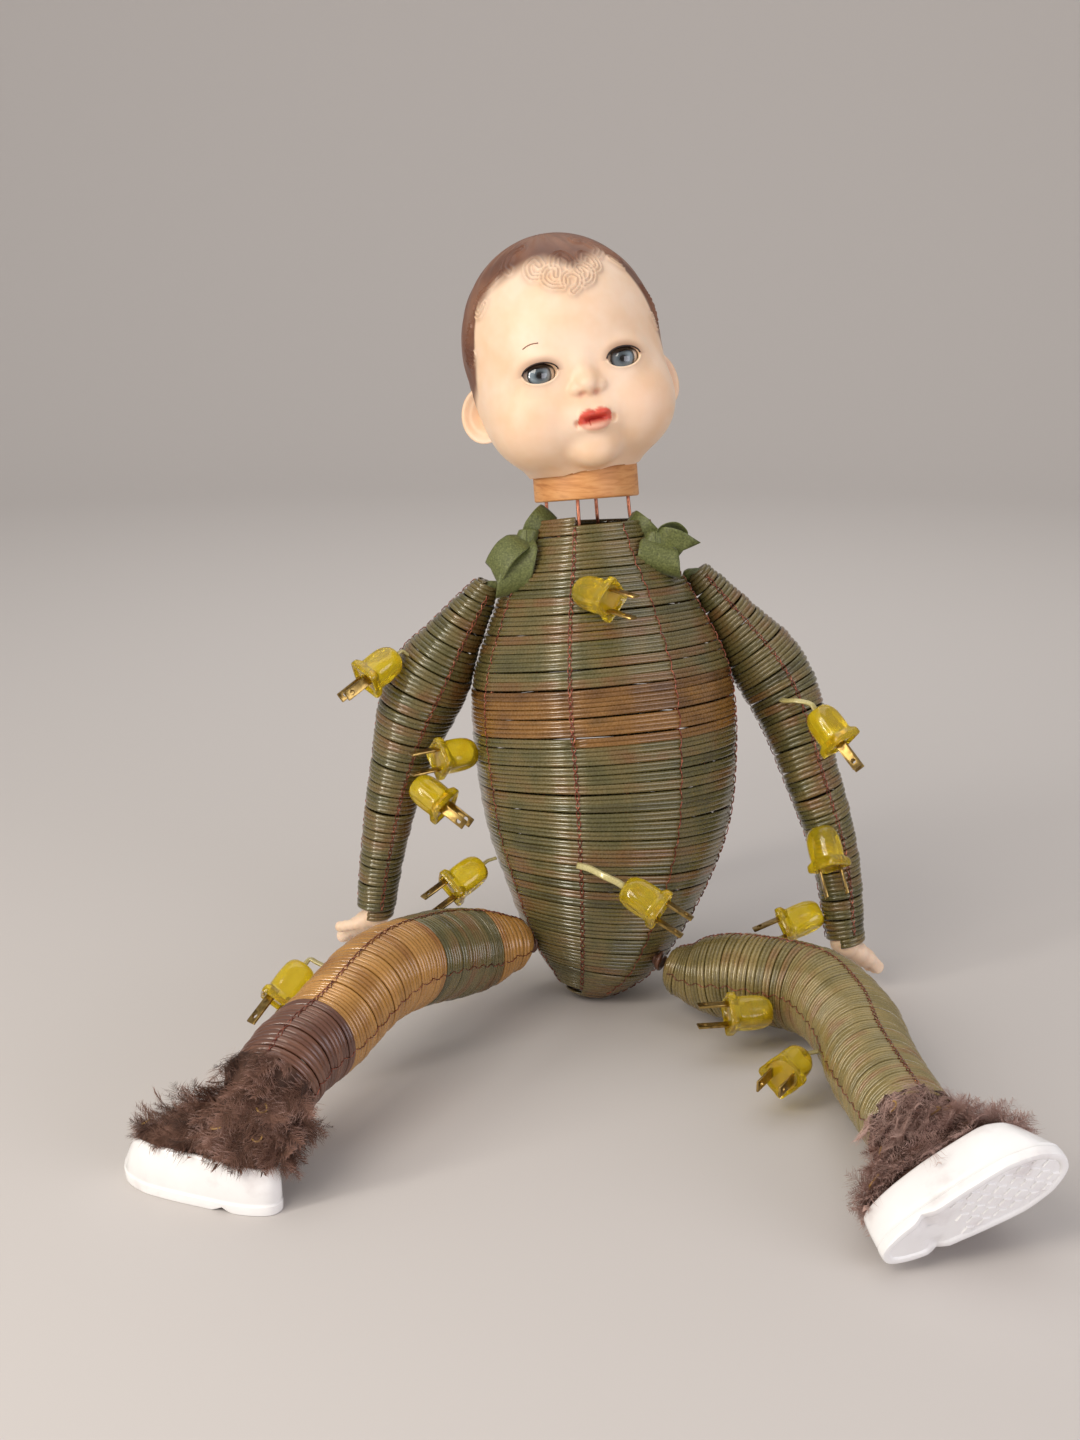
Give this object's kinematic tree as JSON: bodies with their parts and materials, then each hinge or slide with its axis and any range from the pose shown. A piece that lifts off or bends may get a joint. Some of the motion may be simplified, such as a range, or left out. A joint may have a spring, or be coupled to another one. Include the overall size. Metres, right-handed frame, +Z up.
{
  "type": "art doll",
  "caption": "Seated art doll: baby-doll head on a basket body coiled from lamp cord, with coiled arms and legs, plastic shoes and small wall plugs standing out of the coils.",
  "frame": {"origin": "middle of the flat seat under the tip of the basket body, on the floor", "axes": "+Z up, the doll faces -Y, its right side is at -X"},
  "size_m": [0.467, 0.4611, 0.4656],
  "materials": {
    "skin": "satin hard plastic",
    "eye": "polished",
    "wood": "oiled",
    "copper": "bare copper wire",
    "olive_cord": "glossy cord sheath",
    "gold_cord": "glossy cord sheath",
    "brown_cord": "glossy cord sheath",
    "pale_cord": "clear cord sheath",
    "ribbon": "satin ribbon",
    "shoe": "glossy",
    "feather": "matte feather",
    "amber": "translucent moulded plastic",
    "brass": "satin"
  },
  "bodies": {
    "torso": {"body_start_disc": "olive_cord", "body_winding_band": "gold_cord", "body_winding_lower": "olive_cord", "body_winding_upper": "olive_cord", "hip_tie_left": "olive_cord", "hip_tie_right": "olive_cord", "neck_ring": "wood", "plug_belly_blades": "brass", "plug_belly_shell": "amber", "plug_belly_tail": "pale_cord", "plug_chest_blades": "brass", "plug_chest_shell": "amber", "plug_flank_blades": "brass", "plug_flank_shell": "amber", "plug_flank_tail": "brown_cord", "plug_side_blades": "brass", "plug_side_shell": "amber", "shoulder_bow_left": "ribbon", "shoulder_bow_right": "ribbon", "spoke_frame": "copper"},
    "head": {"head_shell": "skin"},
    "eyes": {"eye_left": "eye", "eye_right": "eye", "eye_weight_bar": "brass"},
    "tie_right": {"shoulder_knot_right": "ribbon"},
    "arm_right": {"arm_winding_right": "olive_cord", "hand_right": "skin", "plug_arm_right_elbow_blades": "brass", "plug_arm_right_elbow_shell": "amber", "plug_arm_right_upper_blades": "brass", "plug_arm_right_upper_shell": "amber", "plug_arm_right_upper_tail": "brown_cord"},
    "tie_left": {"shoulder_knot_left": "ribbon"},
    "arm_left": {"arm_winding_left": "olive_cord", "hand_left": "skin", "plug_arm_left_lower_blades": "brass", "plug_arm_left_lower_shell": "amber", "plug_arm_left_upper_blades": "brass", "plug_arm_left_upper_shell": "amber", "plug_arm_left_upper_tail": "pale_cord", "plug_arm_left_wrist_blades": "brass", "plug_arm_left_wrist_shell": "amber"},
    "leg_right": {"feather_upper_right": "feather", "leg_right_shin_brown": "brown_cord", "leg_right_shin_gold": "gold_cord", "leg_right_thigh_gold": "gold_cord", "leg_right_thigh_olive": "olive_cord", "plug_leg_right_blades": "brass", "plug_leg_right_shell": "amber", "plug_leg_right_tail": "brown_cord", "shoe_right": "shoe"},
    "leg_left": {"feather_upper_left": "feather", "leg_left_shin_olive": "olive_cord", "leg_left_thigh_olive": "olive_cord", "plug_knee_blades": "brass", "plug_knee_shell": "amber", "plug_shin_blades": "brass", "plug_shin_shell": "amber", "plug_shin_tail": "brown_cord", "shoe_left": "shoe"}
  },
  "joints": [
    {"name": "head_turn", "type": "hinge", "parent": "torso", "child": "head", "pos_m": [-0.00076, 0.0432, 0.32817], "axis": [-0.0734, 0.1302, 0.9888], "range_deg": [-60, 60]},
    {"name": "eyes_sleep", "type": "hinge", "parent": "head", "child": "eyes", "pos_m": [-0.00283, 0.00981, 0.39028], "axis": [0.9682, 0.1651, 0.1882], "range_deg": [0, 55]},
    {"name": "arm_right_swing", "type": "hinge", "parent": "torso", "child": "tie_right", "pos_m": [-0.06155, 0.03403, 0.25448], "axis": [-1, 0, 0], "range_deg": [-20, 10]},
    {"name": "arm_right_lift", "type": "hinge", "parent": "tie_right", "child": "arm_right", "pos_m": [-0.06155, 0.03403, 0.25448], "axis": [0, 1, 0], "range_deg": [0, 70]},
    {"name": "leg_right_hip", "type": "hinge", "parent": "torso", "child": "leg_right", "pos_m": [-0.04986, -0.0301, 0.04591], "axis": [-1, 0, 0], "range_deg": [-80, 20]},
    {"name": "arm_left_swing", "type": "hinge", "parent": "torso", "child": "tie_left", "pos_m": [0.07046, 0.03403, 0.26245], "axis": [-1, 0, 0], "range_deg": [-20, 4]},
    {"name": "arm_left_lift", "type": "hinge", "parent": "tie_left", "child": "arm_left", "pos_m": [0.07046, 0.03403, 0.26245], "axis": [0, -1, 0], "range_deg": [0, 70]},
    {"name": "leg_left_hip", "type": "hinge", "parent": "torso", "child": "leg_left", "pos_m": [0.06444, -0.03317, 0.02875], "axis": [-1, 0, 0], "range_deg": [-80, 20]}
  ]
}
